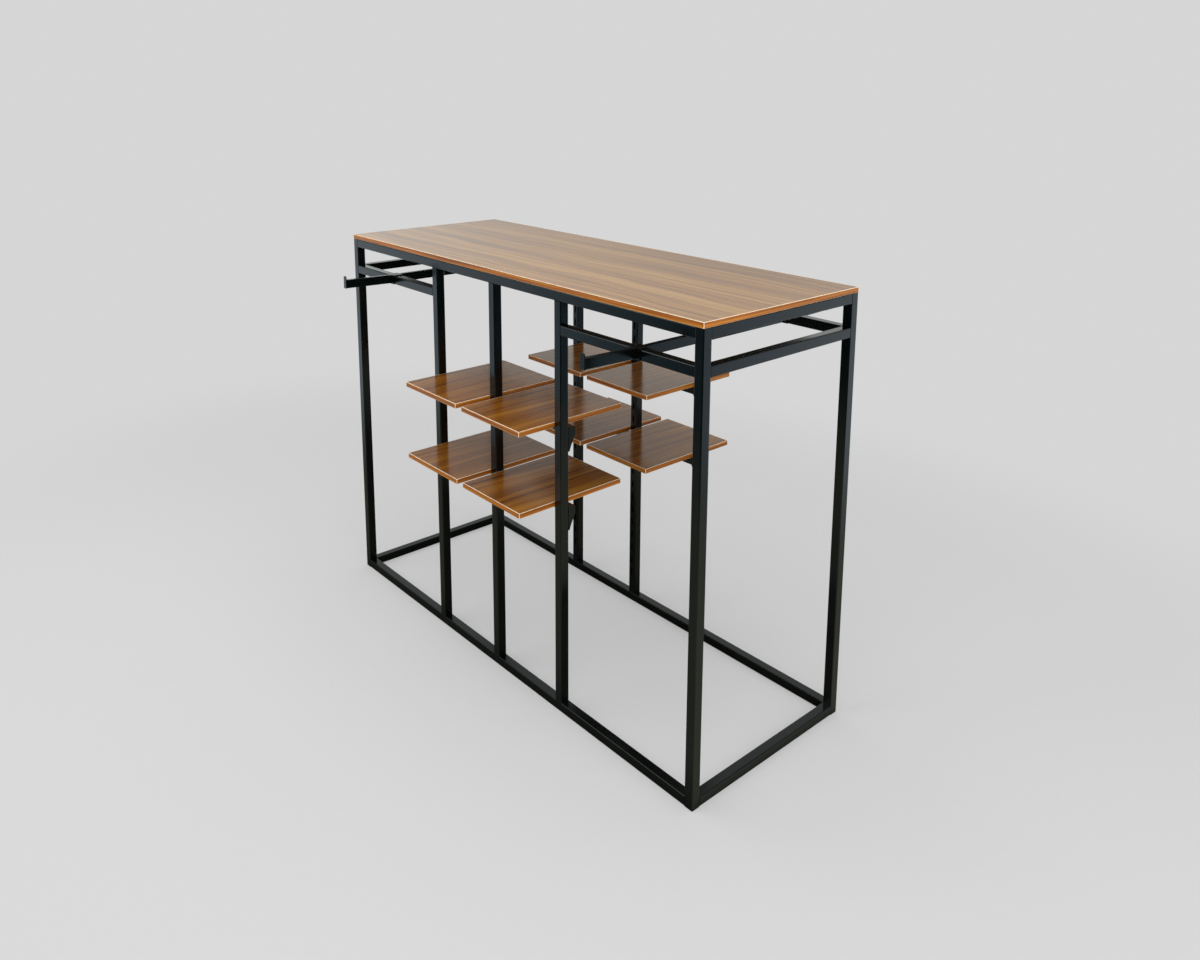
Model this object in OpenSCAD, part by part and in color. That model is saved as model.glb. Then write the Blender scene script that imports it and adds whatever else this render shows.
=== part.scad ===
// Clothing display stand: a double-sided island rack for a shop floor.
// A welded square-tube frame carries a wood-look top. The two middle bays hold shelf
// boards on beams that hook into slotted columns. Each end bay has hang rails and a
// cross-arm unit that lies over them and slides along.
// Millimetres. The origin is on the floor under the middle of the stand, X runs along
// the stand, Y from its front to its back, Z up.

/* [Overall] */
// Length of the frame and of the top board
stand_length = 1800; // [1600:10:2400]
// Depth of the frame and of the top board
stand_depth = 650; // [580:10:900]
// Height of the top board's upper face above the floor
stand_height = 1350; // [1250:10:1600]

/* [Frame tube] */
// Width of the square tube
tube_w = 30; // [25:1:40]
// Wall of the square tube
tube_wall = 1.5; // [1:0.1:2.5]
// Outer corner radius of the square tube
tube_corner = 3; // [2:0.5:5]
// Clear width of each middle bay, between two columns
bay_clear = 300; // [240:5:380]
// Clear height between the top rails and the hang rails
hang_gap = 70; // [50:5:120]

/* [Column slots] */
// Height of the lowest slot's centre above the floor
slot_first = 116; // [80:1:160]
// Distance from one slot to the next
slot_pitch = 50; // [45:1:55]
// Number of slots in a column
slot_count = 20; // [18:1:22]
// Length of a slot
slot_len = 25; // [24:0.5:30]
// Width of a slot
slot_w = 7; // [6:0.5:9]

/* [Top board] */
// Thickness of the top board
top_t = 16; // [14:1:30]
// Thickness of the edge band on every board
edge_t = 2; // [1.6:0.1:3]
// Rounding of the edge band's long edges
edge_round = 1.2; // [0.6:0.1:1.5]

/* [Shelf boards] */
// Depth of a shelf board from front to back
board_depth = 400; // [300:5:440]
// Thickness of a shelf board
board_t = 16; // [14:1:22]
// How far a shelf board stands out past the frame's face
board_out = 130; // [95:5:160]
// Gap between a board's side and the column beside it
board_play = 1.5; // [1:0.5:4]
// Slot that carries the upper shelves, counted from the lowest as 0
upper_slot = 16; // [14:1:17]
// Slot that carries the lower shelves, counted from the lowest as 0
lower_slot = 11; // [3:1:12]

/* [Shelf beam and hook brackets] */
// Height of the shelf beam
beam_h = 25; // [20:1:30]
// Depth of the shelf beam from front to back
beam_d = 23; // [20:1:32]
// Wall of the shelf beam
beam_wall = 1.5; // [1:0.1:2.5]
// Outer corner radius of the shelf beam
beam_corner = 2; // [1:0.1:3]
// Plate thickness of a hook bracket
plate_t = 2.5; // [2:0.1:3]
// Height of the bracket's straight upper part
plate_straight = 16; // [10:1:24]
// How far the bracket reaches below the seat of its lower hook
plate_tail = 9; // [8:0.5:20]
// Depth of the bracket's foot in front of its web
plate_foot = 2; // [1:0.5:6]
// From the board's underside down to the seat of the upper hook
hook_below = 15; // [13:0.5:20]
// Thickness of a hook, across the slot
hook_t = 3; // [2:0.5:3.5]
// Height of a hook's neck
hook_neck = 12; // [8:0.5:12]
// How far a hook's nose hangs below its seat
hook_drop = 8; // [5:0.5:8]
// Depth of a hook's nose, from front to back
hook_nose = 3.2; // [2.5:0.1:5]
// Gap between the bracket and the column's face, and behind the column's wall
hook_play = 0.3; // [0.2:0.05:0.6]
// Height of a hook's seat above the rounded end of its slot
hook_rise = 0.5; // [0.5:0.1:0.9]

/* [Cross arms] */
// Width of the bar that the crossbar and the arms are made of
arm_w = 15; // [12:1:20]
// Height of that bar
arm_h = 30; // [25:1:40]
// Wall of that bar
arm_wall = 1.2; // [1:0.1:2]
// Outer corner radius of that bar
arm_corner = 1.6; // [1:0.1:2.5]
// How far an arm stands out past the frame's face
arm_reach = 180; // [120:5:260]
// Upward slope of an arm towards its end, in degrees
arm_slope = 1.5; // [0:0.5:4]
// From the left end post's inner face to the middle of the left cross-arm unit
left_arm_from_end = 250; // [60:1:280]
// From the right end post's inner face to the middle of the right cross-arm unit
right_arm_from_end = 212; // [60:1:280]
// Width of a saddle along the rail
saddle_w = 40; // [30:1:60]
// Plate thickness of a saddle
saddle_t = 3; // [2:0.5:4]
// How far a saddle's sides hang down beside the rail
saddle_side = 30; // [20:1:34]
// Gap between a saddle's sides and the rail
saddle_play = 0.5; // [0.3:0.1:1]
// Width of the stop plate on the end of an arm
stop_w = 16; // [16:1:35]
// Thickness of the stop plate
stop_t = 3; // [2:0.5:5]
// How far the stop plate rises above the arm
stop_rise = 13; // [6:1:30]
// How far the stop plate reaches below the arm
stop_below = 0.5; // [0.5:0.5:6]
// Radius of the stop plate's upper corners
stop_corner = 7; // [2:0.5:8]

/* [Screws and plugs] */
// Radius of a wood screw
screw_r = 2; // [1.5:0.1:2.5]
// How deep a screw bites into a board
screw_bite = 11; // [8:0.5:12]
// Radius of a screw's head
head_r = 4.5; // [4:0.1:5.5]
// Height of a screw's head
head_h = 2.4; // [1.5:0.1:3.5]
// Radius of the hexagon socket in a screw's head, across its corners
socket_r = 1.8; // [1:0.1:2.5]
// Depth of that socket
socket_depth = 1.4; // [0.5:0.1:1.4]
// Gap round a screw in the tube it passes
screw_play = 0.3; // [0.2:0.05:0.6]
// Gap round a screw in its pilot hole
pilot_play = 0.05; // [0.03:0.01:0.1]
// How much deeper a pilot hole goes than its screw
pilot_extra = 0.5; // [0.3:0.1:1]
// Distance between the shelf screws
shelf_screw_pitch = 100; // [60:5:110]
// From a post or column to the nearest screw of the top board
top_screw_in = 100; // [40:5:110]
// Thickness of the foot plug's head under a post
plug_head = 2; // [1.5:0.1:4]
// Length of the foot plug's stem inside the post
plug_stem = 16; // [10:1:30]
// Wall of the foot plug's stem
plug_wall = 2.5; // [1.5:0.1:4]
// Gap between the plug's stem and the post's bore
plug_play = 0.2; // [0.1:0.05:0.4]

/* [Hidden] */
$fn = 32;

// Colours as seen: black powder coat, wood laminate, its edge band, zinc screws
coat = "#22262a";
laminate_top = "#a5876a";
laminate_shelf = "#8a6038";
band = "#b5793f";
zinc = "#9a9c9e";
plastic = "#141414";

// How far a cut runs past what it cuts
over = 1;
// Smallest inner corner radius of a tube
least_r = 0.3;

// Frame
half_tube = tube_w / 2;
post_x = stand_length / 2 - half_tube;
rail_y = stand_depth / 2 - half_tube;
inner_y = rail_y - half_tube;
end_inner = post_x - half_tube;
frame_top = stand_height - top_t;
top_rail_z = frame_top - half_tube;
column_pitch = bay_clear + tube_w;
column_bottom = tube_w;
column_top = frame_top - tube_w;
column_outer = column_pitch + half_tube;
hang_top = column_top - hang_gap;
hang_z = hang_top - half_tube;

// Shelf levels
web_y = -inner_y + hook_play;
beam_y = web_y + plate_t + beam_d / 2;
beam_half = column_outer - plate_t;
plate_h = hook_below + slot_pitch + plate_tail;
board_front = -stand_depth / 2 - board_out;
board_y = board_front + board_depth / 2;
board_w = bay_clear - 2 * board_play;
board_x = column_pitch / 2;

// Cross arms
arm_top = hang_top + saddle_t;
arm_z = arm_top - arm_h / 2;
saddle_out = half_tube + saddle_play;
arm_start = rail_y + saddle_out + saddle_t;
arm_end = stand_depth / 2 + arm_reach;
arm_rise = (arm_end - arm_start) * tan(arm_slope);

// Middle of the cross-arm unit in the left (-1) or the right (1) end bay
function unit_x(sx) = sx * (end_inner - (sx < 0 ? left_arm_from_end : right_arm_from_end));
// Height of a slot's centre
function slot_z(i) = slot_first + i * slot_pitch;
// Height of a shelf board's underside when its upper hooks hang in slot i
function under_z(i) = slot_z(i) - slot_len / 2 + hook_rise + hook_below;

// Shape of the bracket's curved front edge: how far out its lower half keeps, as a share
// of the beam's depth, and where its two control points lie, as shares of its height
curve_out = 0.35;
curve_high = 0.46;
curve_low = 0.65;
curve_steps = 12;
// Points on that edge, from its straight part down to its foot
function blend(a, b, c, d, t) =
  a * pow(1 - t, 3) + 3 * b * t * pow(1 - t, 2) + 3 * c * t * t * (1 - t) + d * pow(t, 3);
bracket_curve = [
  for (i = [0:curve_steps])
    [
      blend(beam_d, beam_d, beam_d * curve_out, plate_foot, i / curve_steps),
      -blend(plate_straight, plate_h * curve_high, plate_h * curve_low, plate_h - plate_foot,
        i / curve_steps)
    ]
];
// Points round the foot's corner
foot_corner = [
  for (a = [22.5:22.5:90])
    [plate_foot * cos(a), -plate_h + plate_foot * (1 - sin(a))]
];

// Rectangle with round corners, centred
module round_rect(w, d, r) {
  square([w - 2 * r, d], center = true);
  square([w, d - 2 * r], center = true);
  for (x = [-1, 1], y = [-1, 1])
    translate([x * (w / 2 - r), y * (d / 2 - r)]) circle(r);
}

// Section of a hollow tube
module tube_section(w, d, wall, r) {
  difference() {
    round_rect(w, d, r);
    round_rect(w - 2 * wall, d - 2 * wall, max(least_r, r - wall));
  }
}

// Square frame tube along X, Y or Z between two ends
module tube_x(x0, x1, y, z) {
  translate([(x0 + x1) / 2, y, z]) rotate([90, 0, 90])
    linear_extrude(x1 - x0, center = true) tube_section(tube_w, tube_w, tube_wall, tube_corner);
}
module tube_y(y0, y1, x, z) {
  translate([x, (y0 + y1) / 2, z]) rotate([90, 0, 0])
    linear_extrude(y1 - y0, center = true) tube_section(tube_w, tube_w, tube_wall, tube_corner);
}
module tube_z(z0, z1, x, y) {
  translate([x, y, z0])
    linear_extrude(z1 - z0) tube_section(tube_w, tube_w, tube_wall, tube_corner);
}

// Pan-head wood screw, its head's seat at the given height, pointing up
module screw(x, y, seat, shank) {
  translate([x, y, seat]) difference() {
    union() {
      translate([0, 0, -head_h]) cylinder(r = head_r, h = head_h);
      translate([0, 0, -head_h / 2]) cylinder(r = screw_r, h = shank + head_h / 2);
    }
    translate([0, 0, -head_h - over]) cylinder(r = socket_r, h = over + socket_depth, $fn = 6);
  }
}

// Straight hole along Z
module hole(x, y, z0, z1, r) {
  translate([x, y, z0]) cylinder(r = r, h = z1 - z0);
}

// Screw places under the top board: along the long rails and along the short rails
long_screw_x = [column_pitch / 2, column_outer + top_screw_in, end_inner - top_screw_in];
long_screws = [for (x = long_screw_x, sx = [-1, 1]) sx * x];
short_screw_y = inner_y - top_screw_in;
// Screw places under a pair of shelf boards
shelf_screws = [for (s = [-1, 1], k = [-1:1]) s * board_x + k * shelf_screw_pitch];

// Frame pieces

module post(sx, sy) {
  color(coat) tube_z(plug_head, frame_top, sx * post_x, sy * rail_y);
}

module post_plugs() {
  color(plastic) for (sx = [-1, 1], sy = [-1, 1]) translate([sx * post_x, sy * rail_y, 0]) {
    stem = tube_w - 2 * tube_wall - 2 * plug_play;
    linear_extrude(plug_head) round_rect(tube_w, tube_w, tube_corner);
    translate([0, 0, plug_head / 2]) linear_extrude(plug_head / 2 + plug_stem)
      tube_section(stem, stem, plug_wall, max(least_r, tube_corner - tube_wall));
  }
}

module slot_cut() {
  rotate([90, 0, 0]) linear_extrude(2 * (tube_wall + over), center = true) {
    square([slot_w, slot_len - slot_w], center = true);
    for (s = [-1, 1]) translate([0, s * (slot_len - slot_w) / 2]) circle(slot_w / 2);
  }
}

module column(sx, sy) {
  color(coat) difference() {
    tube_z(column_bottom, column_top, sx * column_pitch, sy * rail_y);
    for (i = [0:slot_count - 1])
      translate([sx * column_pitch, sy * inner_y, slot_z(i)]) slot_cut();
  }
}

module long_top_rail(sy) {
  color(coat) difference() {
    tube_x(-end_inner, end_inner, sy * rail_y, top_rail_z);
    for (x = long_screws)
      hole(x, sy * rail_y, column_top - over, frame_top + over, screw_r + screw_play);
  }
}

module short_top_rail(sx) {
  color(coat) difference() {
    tube_y(-inner_y, inner_y, sx * post_x, top_rail_z);
    for (sy = [-1, 1])
      hole(sx * post_x, sy * short_screw_y, column_top - over, frame_top + over,
        screw_r + screw_play);
  }
}

module long_base_rail(sy) {
  color(coat) tube_x(-end_inner, end_inner, sy * rail_y, half_tube);
}

module short_base_rail(sx) {
  color(coat) tube_y(-inner_y, inner_y, sx * post_x, half_tube);
}

// Hang rail along the front or the back of an end bay
module side_hang_rail(sx, sy) {
  color(coat) {
    if (sx > 0) tube_x(column_outer, end_inner, sy * rail_y, hang_z);
    else tube_x(-end_inner, -column_outer, sy * rail_y, hang_z);
  }
}

module end_hang_rail(sx) {
  color(coat) tube_y(-inner_y, inner_y, sx * post_x, hang_z);
}

// Board with its edge band's outer shape: every long edge and corner rounded
module rounded_slab(w, d, t) {
  intersection() {
    linear_extrude(t) round_rect(w, d, edge_t);
    translate([0, 0, t / 2]) rotate([90, 0, 0])
      linear_extrude(d + 2 * over, center = true) round_rect(w, t, edge_round);
    translate([0, 0, t / 2]) rotate([90, 0, 90])
      linear_extrude(w + 2 * over, center = true) round_rect(d, t, edge_round);
  }
}

// Band round a board, as one closed ring
module edge_ring(w, d, t) {
  difference() {
    rounded_slab(w, d, t);
    translate([0, 0, -over]) linear_extrude(t + 2 * over)
      square([w - 2 * edge_t, d - 2 * edge_t], center = true);
  }
}

// Flat board inside its band
module slab(w, d, t) {
  linear_extrude(t) square([w - 2 * edge_t, d - 2 * edge_t], center = true);
}

module top_board() {
  color(laminate_top) difference() {
    translate([0, 0, frame_top]) slab(stand_length, stand_depth, top_t);
    for (x = long_screws, sy = [-1, 1])
      hole(x, sy * rail_y, frame_top - over, frame_top + screw_bite + pilot_extra,
        screw_r + pilot_play);
    for (sx = [-1, 1], sy = [-1, 1])
      hole(sx * post_x, sy * short_screw_y, frame_top - over, frame_top + screw_bite + pilot_extra,
        screw_r + pilot_play);
  }
}

module top_board_edging() {
  color(band) translate([0, 0, frame_top]) edge_ring(stand_length, stand_depth, top_t);
}

module top_board_screws() {
  color(zinc) {
    for (x = long_screws, sy = [-1, 1])
      screw(x, sy * rail_y, column_top, tube_w + screw_bite);
    for (sx = [-1, 1], sy = [-1, 1])
      screw(sx * post_x, sy * short_screw_y, column_top, tube_w + screw_bite);
  }
}

// Cross-arm units, one in each end bay

module crossbar(sx) {
  half = rail_y - saddle_out - saddle_t;
  color(coat) translate([unit_x(sx), 0, arm_z]) rotate([90, 0, 0])
    linear_extrude(2 * half, center = true) tube_section(arm_w, arm_h, arm_wall, arm_corner);
}

module saddles(sx) {
  outer = 2 * (saddle_out + saddle_t);
  color(coat) for (sy = [-1, 1])
    translate([unit_x(sx), sy * rail_y, hang_top]) difference() {
      translate([-saddle_w / 2, -outer / 2, -saddle_side])
        cube([saddle_w, outer, saddle_side + saddle_t]);
      translate([-saddle_w / 2 - over, -saddle_out, -saddle_side - over])
        cube([saddle_w + 2 * over, 2 * saddle_out, saddle_side + over]);
    }
}

// The sloping arms are cut upright at both ends
module arms(sx) {
  length = arm_end - arm_start;
  color(coat) for (sy = [-1, 1])
    translate([unit_x(sx), sy * (arm_start + arm_end) / 2, arm_z + arm_rise / 2])
      intersection() {
        rotate([90 + sy * arm_slope, 0, 0]) linear_extrude(length + arm_h, center = true)
          tube_section(arm_w, arm_h, arm_wall, arm_corner);
        cube([2 * arm_w, length, 3 * arm_h], center = true);
      }
}

module stop_plates(sx) {
  low = arm_top - arm_h - stop_below + arm_rise;
  high = arm_top + stop_rise + arm_rise;
  color(coat) for (sy = [-1, 1])
    translate([unit_x(sx), sy * (arm_end + stop_t / 2), low]) rotate([90, 0, 0])
      linear_extrude(stop_t, center = true) {
        translate([-stop_w / 2, 0]) square([stop_w, high - low - stop_corner]);
        translate([-stop_w / 2 + stop_corner, 0]) square([stop_w - 2 * stop_corner, high - low]);
        for (s = [-1, 1])
          translate([s * (stop_w / 2 - stop_corner), high - low - stop_corner])
            circle(stop_corner);
      }
}

// Shelf level, drawn for the front and mirrored for the back

module at_level(sy, i) {
  mirror([0, sy > 0 ? 1 : 0, 0]) translate([0, 0, under_z(i)]) children();
}

module beam(sy, i) {
  color(coat) at_level(sy, i) difference() {
    translate([0, beam_y, -beam_h / 2]) rotate([90, 0, 90])
      linear_extrude(2 * beam_half, center = true)
        tube_section(beam_d, beam_h, beam_wall, beam_corner);
    for (x = shelf_screws) hole(x, beam_y, -beam_h - over, over, screw_r + screw_play);
  }
}

// Side plate of a bracket, from x to x + plate_t, cut off above the given depth
module gusset(x, cut) {
  edge = concat([[0, 0], [beam_d, 0]], bracket_curve, foot_corner);
  difference() {
    translate([x, web_y + plate_t, 0]) rotate([90, 0, 90])
      linear_extrude(plate_t) polygon(edge);
    if (cut > 0)
      translate([x - over, web_y + plate_t, -cut])
        cube([plate_t + 2 * over, beam_d + over, cut + over]);
  }
}

// Web against the column, with its hooks
module hook_web() {
  translate([-half_tube, web_y, -plate_h]) cube([tube_w, plate_t, plate_h]);
  nose_y = -inner_y - tube_wall - hook_play - hook_nose;
  for (k = [0, 1]) translate([-hook_t / 2, nose_y, -hook_below - k * slot_pitch]) {
    cube([hook_t, web_y - nose_y + plate_t / 2, hook_neck]);
    translate([0, 0, -hook_drop]) cube([hook_t, hook_nose, hook_drop + hook_neck]);
  }
}

module bracket(c) {
  translate([c * column_pitch, 0, 0]) {
    hook_web();
    gusset(-half_tube, c < 0 ? 0 : beam_h);
    gusset(half_tube - plate_t, c > 0 ? 0 : beam_h);
  }
}

module brackets(sy, i) {
  color(coat) at_level(sy, i) for (c = [-1:1]) bracket(c);
}

module board(sx, sy, i) {
  color(laminate_shelf) at_level(sy, i) difference() {
    translate([sx * board_x, board_y, 0]) slab(board_w, board_depth, board_t);
    for (x = shelf_screws) if (x * sx > 0)
      hole(x, beam_y, -over, screw_bite + pilot_extra, screw_r + pilot_play);
  }
}

module board_edging(sy, i) {
  color(band) at_level(sy, i) for (sx = [-1, 1])
    translate([sx * board_x, board_y, 0]) edge_ring(board_w, board_depth, board_t);
}

module board_screws(sy, i) {
  color(zinc) at_level(sy, i) for (x = shelf_screws)
    screw(x, beam_y, -beam_h, beam_h + screw_bite);
}

// Top
top_board();
top_board_edging();
top_board_screws();

// Posts
post(-1, -1);  // post_front_left
post(1, -1);  // post_front_right
post(-1, 1);  // post_back_left
post(1, 1);  // post_back_right
post_plugs();

// Columns
column(-1, -1);  // column_front_left
column(0, -1);  // column_front_mid
column(1, -1);  // column_front_right
column(-1, 1);  // column_back_left
column(0, 1);  // column_back_mid
column(1, 1);  // column_back_right

// Rails
long_top_rail(-1);  // top_rail_front
long_top_rail(1);  // top_rail_back
short_top_rail(-1);  // top_rail_left
short_top_rail(1);  // top_rail_right
long_base_rail(-1);  // base_rail_front
long_base_rail(1);  // base_rail_back
short_base_rail(-1);  // base_rail_left
short_base_rail(1);  // base_rail_right
side_hang_rail(-1, -1);  // hang_rail_front_left
side_hang_rail(1, -1);  // hang_rail_front_right
side_hang_rail(-1, 1);  // hang_rail_back_left
side_hang_rail(1, 1);  // hang_rail_back_right
end_hang_rail(-1);  // hang_rail_left_end
end_hang_rail(1);  // hang_rail_right_end

// Cross-arm units
crossbar(-1);  // left_crossbar
saddles(-1);  // left_saddles
arms(-1);  // left_arms
stop_plates(-1);  // left_stop_plates
crossbar(1);  // right_crossbar
saddles(1);  // right_saddles
arms(1);  // right_arms
stop_plates(1);  // right_stop_plates

// Shelf levels
beam(-1, upper_slot);  // front_upper_beam
brackets(-1, upper_slot);  // front_upper_brackets
board(-1, -1, upper_slot);  // front_upper_board_left
board(1, -1, upper_slot);  // front_upper_board_right
board_edging(-1, upper_slot);  // front_upper_edging
board_screws(-1, upper_slot);  // front_upper_screws
beam(-1, lower_slot);  // front_lower_beam
brackets(-1, lower_slot);  // front_lower_brackets
board(-1, -1, lower_slot);  // front_lower_board_left
board(1, -1, lower_slot);  // front_lower_board_right
board_edging(-1, lower_slot);  // front_lower_edging
board_screws(-1, lower_slot);  // front_lower_screws
beam(1, upper_slot);  // back_upper_beam
brackets(1, upper_slot);  // back_upper_brackets
board(-1, 1, upper_slot);  // back_upper_board_left
board(1, 1, upper_slot);  // back_upper_board_right
board_edging(1, upper_slot);  // back_upper_edging
board_screws(1, upper_slot);  // back_upper_screws
beam(1, lower_slot);  // back_lower_beam
brackets(1, lower_slot);  // back_lower_brackets
board(-1, 1, lower_slot);  // back_lower_board_left
board(1, 1, lower_slot);  // back_lower_board_right
board_edging(1, lower_slot);  // back_lower_edging
board_screws(1, lower_slot);  // back_lower_screws
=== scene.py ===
import math

import bpy
from mathutils import Matrix, Vector

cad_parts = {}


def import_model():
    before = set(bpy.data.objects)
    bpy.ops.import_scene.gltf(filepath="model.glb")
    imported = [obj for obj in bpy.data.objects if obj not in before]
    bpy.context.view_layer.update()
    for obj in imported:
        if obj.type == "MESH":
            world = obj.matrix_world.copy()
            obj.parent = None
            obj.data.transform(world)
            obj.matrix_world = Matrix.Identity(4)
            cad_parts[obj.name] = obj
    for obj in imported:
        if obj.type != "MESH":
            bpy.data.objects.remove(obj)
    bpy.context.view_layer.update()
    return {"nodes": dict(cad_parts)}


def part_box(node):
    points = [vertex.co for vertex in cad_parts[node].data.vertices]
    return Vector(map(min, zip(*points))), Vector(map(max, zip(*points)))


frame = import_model()


# Node trees

def rgba(colour):
    return colour if isinstance(colour, bpy.types.NodeSocket) else (*colour, 1.0)


class Tree:
    """Short calls that build the node tree of a material or of the world."""

    def __init__(self, owner):
        owner.use_nodes = True
        self.tree = owner.node_tree
        self.tree.nodes.clear()

    def put(self, kind, inputs=None, **props):
        """Add a node. A value that is a socket is linked, and any other is set."""
        node = self.tree.nodes.new(kind)
        for key, value in props.items():
            setattr(node, key, value)
        for key, value in (inputs or {}).items():
            if isinstance(value, bpy.types.NodeSocket):
                self.tree.links.new(value, node.inputs[key])
            else:
                node.inputs[key].default_value = value
        return node

    def shader(self, kind, *inputs):
        return self.put(kind, dict(enumerate(inputs))).outputs[0]

    def mix(self, factor, a, b):
        return self.shader("ShaderNodeMixShader", factor, a, b)

    def math(self, operation, a, b=0.0):
        return self.put("ShaderNodeMath", {0: a, 1: b}, operation=operation).outputs[0]

    def add(self, first, *others):
        for other in others:
            first = self.math("ADD", first, other)
        return first

    def minus(self, a, b):
        return self.math("SUBTRACT", a, b)

    def times(self, a, b):
        return self.math("MULTIPLY", a, b)

    def vector(self, x, y, z):
        return self.put("ShaderNodeCombineXYZ", {0: x, 1: y, 2: z}).outputs[0]

    def split(self, vector):
        return self.put("ShaderNodeSeparateXYZ", {0: vector}).outputs

    def fit(self, value, low, high, to_low=0.0, to_high=1.0, smooth=True):
        """Take low to to_low and high to to_high, and stay level outside."""
        kind = "SMOOTHSTEP" if smooth else "LINEAR"
        inputs = {0: value, 1: low, 2: high, 3: to_low, 4: to_high}
        node = self.put("ShaderNodeMapRange", inputs, interpolation_type=kind)
        return node.outputs[0]

    def noise(self, place, scale=1.0, detail=2.0, roughness=0.5):
        inputs = {"Vector": place, "Scale": scale, "Detail": detail,
                  "Roughness": roughness}
        return self.put("ShaderNodeTexNoise", inputs).outputs[0]

    def streaks(self, along, across, layer, waves, **noise):
        """Drawn-out noise, with so many waves per metre along and across the streaks."""
        along, across = self.times(along, waves[0]), self.times(across, waves[1])
        return self.noise(self.vector(along, across, layer), **noise)

    def swing(self, noise, reach):
        """Noise about zero, times reach."""
        return self.times(self.minus(noise, 0.5), reach)

    def spread(self, noise, to_low=0.0, to_high=1.0):
        """The range that most of a noise's values lie in, taken to another one."""
        return self.fit(noise, 0.3, 0.7, to_low, to_high)

    def blend(self, factor, a, b, kind="MIX"):
        inputs = {0: factor, 6: rgba(a), 7: rgba(b)}
        props = {"data_type": "RGBA", "blend_type": kind}
        return self.put("ShaderNodeMix", inputs, **props).outputs[2]

    def scaled(self, colour, level):
        return self.blend(1.0, colour, self.vector(level, level, level), "MULTIPLY")

    def ramp(self, factor, stops):
        node = self.put("ShaderNodeValToRGB", {0: factor})
        ramp = node.color_ramp
        while len(ramp.elements) < len(stops):
            ramp.elements.new(0.5)
        for element, (place, colour) in zip(ramp.elements, stops):
            element.position = place
            element.color = rgba(colour)
        return node.outputs[0]

    def bump(self, height, distance, strength):
        inputs = {"Height": height, "Distance": distance, "Strength": strength}
        return self.put("ShaderNodeBump", inputs).outputs[0]

    def surface(self, colour, roughness, normal, **constants):
        """Principled surface; the constants go straight on the shader's own sockets."""
        inputs = {"Base Color": colour, "Roughness": roughness, "Normal": normal}
        inputs.update(constants)
        self.output(self.put("ShaderNodeBsdfPrincipled", inputs).outputs[0])

    def output(self, shader, kind="ShaderNodeOutputMaterial"):
        self.put(kind, {0: shader})


def material(name):
    made = bpy.data.materials.new(name)
    return made, Tree(made)


# Laminate of the boards: a printed wood grain, from its darkest tone to its lightest

TOP_WOOD = ((0.32, (0.115, 0.040, 0.0060)), (0.42, (0.195, 0.070, 0.0080)),
            (0.52, (0.270, 0.112, 0.0160)), (0.66, (0.365, 0.182, 0.0400)))
# The shelves take the top's laminate, mostly darker and more saturated: painted shade,
# for the shelves that lie in the top board's shade
SHELF_WOOD_SHADED = ((0.32, (0.080, 0.022, 0.0040)), (0.42, (0.175, 0.056, 0.0070)),
              (0.52, (0.256, 0.092, 0.0110)), (0.66, (0.380, 0.158, 0.0195)))

# Waves per metre along and across the grain, and how far or how much each one counts
WANDER, WANDER_REACH = (1.9, 4.5), 0.075
RIPPLE, RIPPLE_REACH = (5.0, 24.0), 0.008
BANDS, BANDS_SHARE = (0.35, 15.0), 0.25
RINGS, RINGS_SHARE = (0.9, 52.0), 0.62
FIBRE, FIBRE_SHARE = (4.0, 420.0), 0.18
PORES, PORES_SHARE = (45.0, 1700.0), 0.30
PORE_EDGES = (0.62, 0.74)
BANDS_PITCH = 0.165
MIDDLE_TONE = 0.5

# Other heights, and the back of the stand, take other slices of the grain
SLICES_PER_METRE = 7.3
REAR_SLICE = 3.1

# The underside by its normal's z, the dark colour of its painted shade, and its added
# roughness
FACES_DOWN = (-0.9, -0.5)
UNDERSIDE_PAINTED_SHADE = (0.060, 0.026, 0.008)
UNDERSIDE_ROUGHER = 0.6

# The glue line's colour, width in metres and strength
GLUE = (0.030, 0.012, 0.006)
GLUE_WIDTH = 0.0009
GLUE_SHARE = 0.75

# The lacquer's roughness, its waves, their height in metres, and the grain's part in it
LACQUER_ROUGH = (0.15, 0.20)
LACQUER_PEEL = 230.0
LACQUER_RELIEF = 0.00005
GRAIN_RELIEF = 0.2
PORE_DEPTH = 1.5
LACQUER_IOR = 1.5


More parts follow.
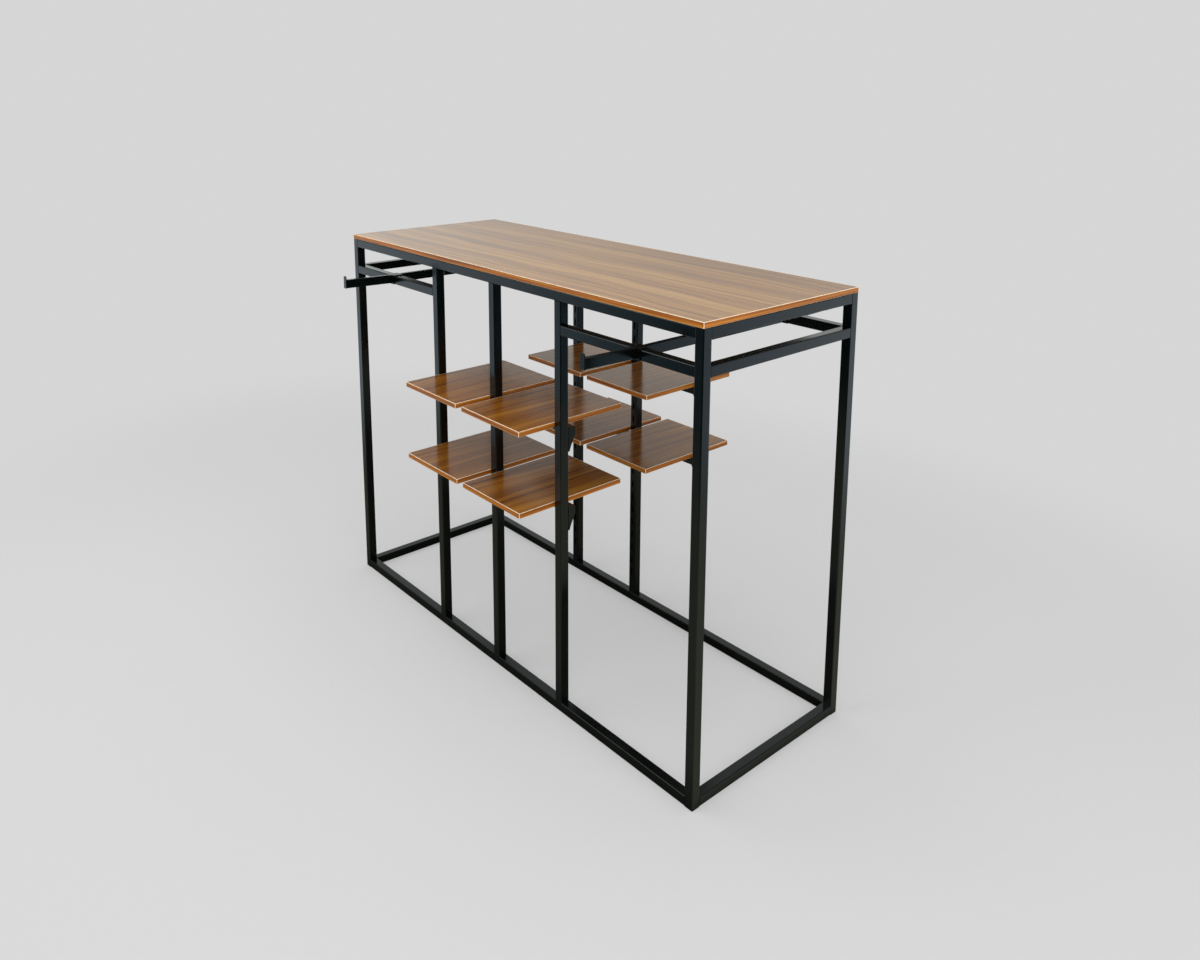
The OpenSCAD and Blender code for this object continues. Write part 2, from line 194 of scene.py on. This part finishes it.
def laminate(name, board, along_x, woods, wave, phase, contrast, back_shade):
    """Laminate with its grain along x or y, for boards of the size of the given one.

    Wave and phase are the strength and the place of the broad bands, contrast spreads
    the tones, and the last argument is how much they darken with each metre towards the
    back: painted shade, as less light falls on the back of the board.
    """
    made, t = material(name)
    coords = t.put("ShaderNodeTexCoord").outputs
    x, y, z = t.split(coords["Object"])
    along, across = (x, y) if along_x else (y, x)
    layer = t.times(z, SLICES_PER_METRE)
    if not along_x:
        layer = t.add(layer, t.times(t.math("GREATER_THAN", y, 0.0), REAR_SLICE))

    # The grain wanders slowly from side to side
    slow = t.swing(t.streaks(along, across, layer, WANDER), WANDER_REACH)
    quick = t.swing(t.streaks(along, across, layer, RIPPLE), RIPPLE_REACH)
    line = t.add(across, t.add(slow, quick))
    bands = t.streaks(along, line, layer, BANDS, detail=1.0)
    rings = t.streaks(along, line, layer, RINGS, detail=3.0, roughness=0.6)
    fibre = t.streaks(along, line, layer, FIBRE)
    pores = t.streaks(along, line, layer, PORES, detail=0.0)

    # Broad bands come back at about the same distance, as in a printed sheet
    turn = t.add(t.times(line, 2.0 * math.pi / BANDS_PITCH), phase)
    tone = t.add(t.times(t.math("COSINE", turn), wave), t.swing(bands, BANDS_SHARE),
                 t.swing(rings, RINGS_SHARE), t.swing(fibre, FIBRE_SHARE))
    tone = t.add(t.times(tone, contrast), MIDDLE_TONE)
    # Painted shade: darker towards the back of the board
    tone = t.minus(tone, t.times(y, back_shade))
    darkest = woods[0][1]
    pore = t.fit(pores, *PORE_EDGES, to_high=PORES_SHARE)
    colour = t.blend(pore, t.ramp(tone, woods), darkest)

    # The underside is painted dark, as shade under the boards, and made matt
    under = t.fit(t.split(coords["Normal"])[2], *FACES_DOWN, 1.0, 0.0)
    colour = t.blend(under, colour, UNDERSIDE_PAINTED_SHADE)

    # Glue line where the laminate meets its edge band
    low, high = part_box(board)
    from_left, from_front, _ = t.split(coords["Generated"])
    nearest = [t.times(t.math("MINIMUM", part, t.minus(1.0, part)), length)
               for part, length in zip((from_left, from_front), high - low)]
    glue = t.fit(t.math("MINIMUM", *nearest), 0.0, GLUE_WIDTH, GLUE_SHARE, 0.0)
    colour = t.blend(glue, colour, GLUE)

    rough = t.add(t.spread(fibre, *LACQUER_ROUGH), t.times(under, UNDERSIDE_ROUGHER))
    grain = t.minus(fibre, t.times(pore, PORE_DEPTH))
    peel = t.noise(coords["Object"], LACQUER_PEEL, detail=1.0)
    height = t.add(t.times(grain, GRAIN_RELIEF), peel)
    relief = t.bump(height, LACQUER_RELIEF, strength=1.0)
    t.surface(colour, rough, relief, IOR=LACQUER_IOR)
    return made


# Edge band: streaks along the band, and a paler arris, partly scraped and partly a
# painted highlight

EDGE_TONES = ((0.38, (0.205, 0.050, 0.0025)), (0.50, (0.400, 0.115, 0.0050)),
              (0.62, (0.610, 0.220, 0.0200)))
EDGE_BROAD, EDGE_BROAD_SHARE = (1.6, 130.0), 0.7
EDGE_FINE, EDGE_FINE_SHARE = (9.0, 900.0), 0.3
EDGE_ROUGH = (0.32, 0.42)
EDGE_RELIEF = 0.00004
EDGE_IOR = 1.48

# Left and right sides take another slice of the streaks, and are a little lighter:
# painted light, for the brighter light on the ends of the bands
SIDE_SLICE = 3.7
SIDE_PAINTED_LIGHT = 0.02

# The pale arris by the turn of its normal, and the ticks that cross it; its pale colour
# is partly scraped core and partly painted highlight
PALE_CORE_AND_HIGHLIGHT = (0.950, 0.790, 0.580)
ARRIS_EDGES = (0.15, 0.45)
TICKS = 60.0
TICK_EDGES, TICK_SHARE = (0.3, 0.6), 0.75


def edge_band(name):
    made, t = material(name)
    coords = t.put("ShaderNodeTexCoord").outputs
    x, y, z = t.split(coords["Object"])
    nx, ny, nz = (t.math("ABSOLUTE", part) for part in t.split(coords["Normal"]))
    side = t.math("GREATER_THAN", nx, ny)
    along = t.add(t.times(y, side), t.times(x, t.minus(1.0, side)))
    layer = t.times(side, SIDE_SLICE)
    broad = t.streaks(along, z, layer, EDGE_BROAD, roughness=0.6)
    fine = t.streaks(along, z, layer, EDGE_FINE, roughness=0.6)
    # The sides' small lift in tone is painted light
    tone = t.add(t.times(broad, EDGE_BROAD_SHARE), t.times(fine, EDGE_FINE_SHARE),
                 t.times(side, SIDE_PAINTED_LIGHT))

    # Trimming bares the band's paler core along its edges and corners, and the pale
    # colour there is also a painted highlight, the glint of the rounded edges
    rounding = t.math("MAXIMUM", nz, t.math("MINIMUM", nx, ny))
    ticks = t.noise(t.vector(t.times(along, TICKS), z, side))
    arris = t.times(t.fit(rounding, *ARRIS_EDGES),
                    t.fit(ticks, *TICK_EDGES, to_low=TICK_SHARE))
    colour = t.blend(arris, t.ramp(tone, EDGE_TONES), PALE_CORE_AND_HIGHLIGHT)
    relief = t.bump(fine, EDGE_RELIEF, strength=0.4)
    t.surface(colour, t.spread(fine, *EDGE_ROUGH), relief, IOR=EDGE_IOR)
    return made


# Powder coat of the steel: fine orange peel, a little uneven in gloss

COAT_DARK, COAT_PALE = (0.0012, 0.0020, 0.0018), (0.0020, 0.0030, 0.0028)
COAT_ROUGH = (0.13, 0.17)
COAT_IOR = 1.5
CLOUD, CLOUD_EDGES = 9.0, (0.35, 0.65)
SPECK_COLOUR = (0.008, 0.010, 0.011)
SPECKS, SPECK_EDGES, SPECK_SHARE = 1500.0, (0.66, 0.76), 0.4
PEEL, PEEL_ROUGHER, PEEL_RELIEF = 620.0, 0.05, 0.00006


def powder_coat(name):
    made, t = material(name)
    place = t.put("ShaderNodeTexCoord").outputs["Object"]
    cloud = t.noise(place, CLOUD, detail=3.0)
    peel = t.noise(place, PEEL, roughness=0.45)
    specks = t.noise(place, SPECKS, detail=1.0)
    colour = t.blend(t.fit(cloud, *CLOUD_EDGES), COAT_DARK, COAT_PALE)
    speck = t.fit(specks, *SPECK_EDGES, to_high=SPECK_SHARE)
    colour = t.blend(speck, colour, SPECK_COLOUR)
    rough = t.add(t.spread(cloud, *COAT_ROUGH), t.times(peel, PEEL_ROUGHER))
    relief = t.bump(peel, PEEL_RELIEF, strength=0.25)
    t.surface(colour, rough, relief, IOR=COAT_IOR)
    return made


# Zinc plate of the screws

ZINC_DARK, ZINC_PALE = (0.48, 0.49, 0.50), (0.66, 0.66, 0.63)
ZINC_SPANGLE, SPANGLE_EDGES = 420.0, (0.35, 0.65)
ZINC_ROUGH = (0.28, 0.42)
ZINC_RELIEF = 0.00003


def zinc_plate(name):
    made, t = material(name)
    place = t.put("ShaderNodeTexCoord").outputs["Object"]
    spangle = t.noise(place, ZINC_SPANGLE, detail=3.0)
    colour = t.blend(t.fit(spangle, *SPANGLE_EDGES), ZINC_DARK, ZINC_PALE)
    relief = t.bump(spangle, ZINC_RELIEF, strength=0.4)
    t.surface(colour, t.spread(spangle, *ZINC_ROUGH), relief, Metallic=1.0)
    return made


# Moulded plastic of the plugs in the posts' feet

PLUG_DARK, PLUG_PALE = (0.008,) * 3, (0.014,) * 3
PLUG_GRAIN = 900.0
PLUG_ROUGH = (0.45, 0.60)
PLUG_RELIEF = 0.00008
PLUG_IOR = 1.46


def plug_plastic(name):
    made, t = material(name)
    place = t.put("ShaderNodeTexCoord").outputs["Object"]
    grain = t.noise(place, PLUG_GRAIN)
    colour = t.blend(t.spread(grain), PLUG_DARK, PLUG_PALE)
    relief = t.bump(grain, PLUG_RELIEF, strength=0.5)
    t.surface(colour, t.spread(grain, *PLUG_ROUGH), relief, IOR=PLUG_IOR)
    return made


# Each CAD node gets its finish

steel = powder_coat("powder_coat")
zinc = zinc_plate("zinc")
plastic = plug_plastic("foot_plug")
band = edge_band("edge_band")
top_wood = laminate("top_laminate", "top_board", True, TOP_WOOD,
                    wave=0.045, phase=0.15, contrast=1.3, back_shade=0.15)
shelf_wood = laminate("shelf_laminate", "front_upper_board_left", False, SHELF_WOOD_SHADED,
                      wave=0.02, phase=1.0, contrast=1.08, back_shade=0.0)


def finish_of(node):
    if node.endswith("screws"):
        return zinc
    if node.endswith("edging"):
        return band
    if node == "top_board":
        return top_wood
    if "_board_" in node:
        return shelf_wood
    return plastic if node == "post_plugs" else steel


for node, cad in frame["nodes"].items():
    if not cad.material_slots:
        cad.data.materials.append(None)
    for place in cad.material_slots:
        place.material = finish_of(node)


# Backdrop: the sRGB value 214 as linear light

BACKDROP = (0.6725,) * 3


# Floor: pale, keeps the shadow near the stand and fades into the backdrop

FLOOR_HALF = 14.0
FLOOR_BELOW = 0.0005
PAPER_DARK, PAPER_PALE = (0.622,) * 3, (0.630,) * 3
PAPER_GRAIN = 35.0

# Distances are measured as if the floor were that much shorter along the stand
FLOOR_STRETCH = 1.35
FADE_FROM, FADE_TO = 1.5, 2.9
FADE_NEAR = 0.45

# What the gloss and the bounced light see of it: dim and warm, with a painted shadow
# under the stand by the distance from its middle plane, and a painted pool of light at
# its right end. Far off it is clear to the gloss, which then sees the studio.
DIM_FLOOR = (0.185, 0.195, 0.152)
SHADED_TO, LIT_FROM = 0.30, 0.50
SHADED_LEVEL = 0.45
END_FROM, END_TO = 0.86, 0.93
END_LIGHT_POOL = 1.8
CLEAR_FROM, CLEAR_TO = 1.4, 3.0


def floor_material():
    made, t = material("floor")
    place = t.put("ShaderNodeNewGeometry").outputs["Position"]
    x, y, _ = t.split(place)
    across = t.math("POWER", t.math("DIVIDE", x, FLOOR_STRETCH), 2.0)
    away = t.math("SQRT", t.add(across, t.math("POWER", y, 2.0)))

    # Seen by the camera: the shadow's part of the floor, then the flat backdrop
    grain = t.noise(place, PAPER_GRAIN, detail=4.0)
    colour = t.blend(t.spread(grain), PAPER_DARK, PAPER_PALE)
    paper = t.shader("ShaderNodeBsdfDiffuse", colour)
    flat = t.shader("ShaderNodeEmission", rgba(BACKDROP))
    shown = t.mix(t.fit(away, FADE_FROM, FADE_TO, to_low=FADE_NEAR), paper, flat)

    # Seen by the light that bounces off it, and in the gloss
    # Painted shadow under the stand, and a painted pool of light at the right end
    shaded = t.fit(t.math("ABSOLUTE", y), SHADED_TO, LIT_FROM, to_low=SHADED_LEVEL)
    level = t.math("MAXIMUM", shaded, t.fit(x, END_FROM, END_TO, to_high=END_LIGHT_POOL))
    dim = t.shader("ShaderNodeBsdfDiffuse", t.scaled(DIM_FLOOR, level))
    clear = t.shader("ShaderNodeBsdfTransparent")
    mirror = t.mix(t.fit(away, CLEAR_FROM, CLEAR_TO), dim, clear)

    light = t.put("ShaderNodeLightPath").outputs
    seen = t.mix(light["Is Camera Ray"], dim, shown)
    t.output(t.mix(light["Is Glossy Ray"], seen, mirror))
    return made


floor_mesh = bpy.data.meshes.new("floor")
corners = [(a * FLOOR_HALF, b * FLOOR_HALF, -FLOOR_BELOW)
           for a, b in ((-1, -1), (1, -1), (1, 1), (-1, 1))]
floor_mesh.from_pydata(corners, [], [(0, 1, 2, 3)])
floor = bpy.data.objects.new("floor", floor_mesh)
floor_mesh.materials.append(floor_material())
bpy.context.scene.collection.objects.link(floor)


# World: even fill for surfaces, the pale backdrop for the camera, and a studio for gloss

FILL = 0.66
WHITE = (1.0, 1.0, 1.0)

# The studio as the gloss sees it, by how far a direction points to its bright side:
# a dark room in front and at the right, cool bright sides and a neutral backdrop
BRIGHT_SIDE = (-0.669, 0.743, 0.0)
STUDIO = ((-0.125, (0.00, 0.02, 0.03)), (-0.005, (0.18, 0.30, 0.38)),
          (0.123, (0.58, 0.70, 0.80)), (0.280, (0.85, 0.97, 1.05)),
          (0.930, (1.08, 1.13, 1.10)), (0.988, (0.76, 0.77, 0.71)))

# Its level by a direction's slope up from the back, as a sum of steps: slope before and
# after the step in radians, level before and after it, and whether the step is smooth.
# A bright strip runs along the stand, low behind it, and the studio darkens above it.
GLOSS_STEPS = ((0.24, 0.33, 0.74, 1.02, False), (0.00, 0.10, 0.26, 0.00, True),
               (0.33, 0.47, 0.00, -0.47, True), (0.47, 0.62, 0.00, -0.12, False))


def studio(t, direction):
    """Colour of the studio in a direction, for gloss."""
    dot = t.put("ShaderNodeVectorMath", {0: direction, 1: BRIGHT_SIDE},
                operation="DOT_PRODUCT").outputs["Value"]
    low = STUDIO[0][0]
    span = 1.0 - low
    place = t.fit(dot, low, 1.0, smooth=False)
    colour = t.ramp(place, [((at - low) / span, tint) for at, tint in STUDIO])
    _, deep, height = t.split(direction)
    slope = t.math("ARCTAN2", height, deep)
    return t.scaled(colour, t.add(*(t.fit(slope, *step) for step in GLOSS_STEPS)))


def world():
    made = bpy.data.worlds.new("studio")
    t = Tree(made)
    direction = t.put("ShaderNodeTexCoord").outputs["Generated"]
    fill = t.shader("ShaderNodeBackground", rgba(WHITE), FILL)
    shown = t.shader("ShaderNodeBackground", rgba(BACKDROP), 1.0)
    mirror = t.shader("ShaderNodeBackground", studio(t, direction), 1.0)
    light = t.put("ShaderNodeLightPath").outputs
    through = t.math("MAXIMUM", light["Is Camera Ray"], light["Is Transmission Ray"])
    seen = t.mix(through, fill, shown)
    t.output(t.mix(light["Is Glossy Ray"], seen, mirror), "ShaderNodeOutputWorld")
    bpy.context.scene.world = made


world()


# Lamps: softboxes overhead and in front, and a wider one at the right. Each row gives its
# place, what it faces, its width and height in metres, and its power in watts.

LAMPS = {"overhead": ((0.0, -0.2, 3.6), (0.0, 0.0, 0.6), 3.2, 2.4, 30.0),
         "front": ((-1.6, -3.0, 3.0), (0.0, 0.0, 0.8), 3.2, 2.4, 44.0),
         "right": ((4.2, -1.6, 2.6), (0.2, 0.0, 0.8), 5.4, 4.0, 115.0)}


def softbox(name, at, aim, width, height, power):
    data = bpy.data.lights.new(name, "AREA")
    data.shape = "RECTANGLE"
    data.size, data.size_y = width, height
    data.energy = power
    lamp = bpy.data.objects.new(name, data)
    lamp.location = at
    facing = Vector(aim) - Vector(at)
    lamp.rotation_euler = facing.to_track_quat("-Z", "Y").to_euler()
    bpy.context.scene.collection.objects.link(lamp)


for name, row in LAMPS.items():
    softbox(name, *row)


# Camera: the photograph's viewpoint, for an image of 1200 x 960

CAMERA_AT = Vector((2.4644, -2.0400, 1.9277))
CAMERA_TURN = math.radians(48.6506)
CAMERA_DOWN = math.radians(10.4097)
CAMERA_ROLL = math.radians(0.2833)
CAMERA_LENS = 29.29
CAMERA_SENSOR = 36.0
CAMERA_SHIFT = -0.1834


def camera():
    data = bpy.data.cameras.new("camera")
    data.sensor_fit = "HORIZONTAL"
    data.sensor_width = CAMERA_SENSOR
    data.lens = CAMERA_LENS
    data.shift_y = CAMERA_SHIFT
    back = Vector((math.sin(CAMERA_TURN) * math.cos(CAMERA_DOWN),
                   -math.cos(CAMERA_TURN) * math.cos(CAMERA_DOWN),
                   math.sin(CAMERA_DOWN)))
    right = Vector((0.0, 0.0, 1.0)).cross(back).normalized()
    up = back.cross(right)
    c, s = math.cos(CAMERA_ROLL), math.sin(CAMERA_ROLL)
    axes = Matrix((c * right + s * up, -s * right + c * up, back)).transposed()
    made = bpy.data.objects.new("camera", data)
    made.matrix_world = Matrix.Translation(CAMERA_AT) @ axes.to_4x4()
    bpy.context.scene.collection.objects.link(made)
    bpy.context.scene.camera = made


camera()
bpy.context.scene.view_settings.view_transform = "Standard"
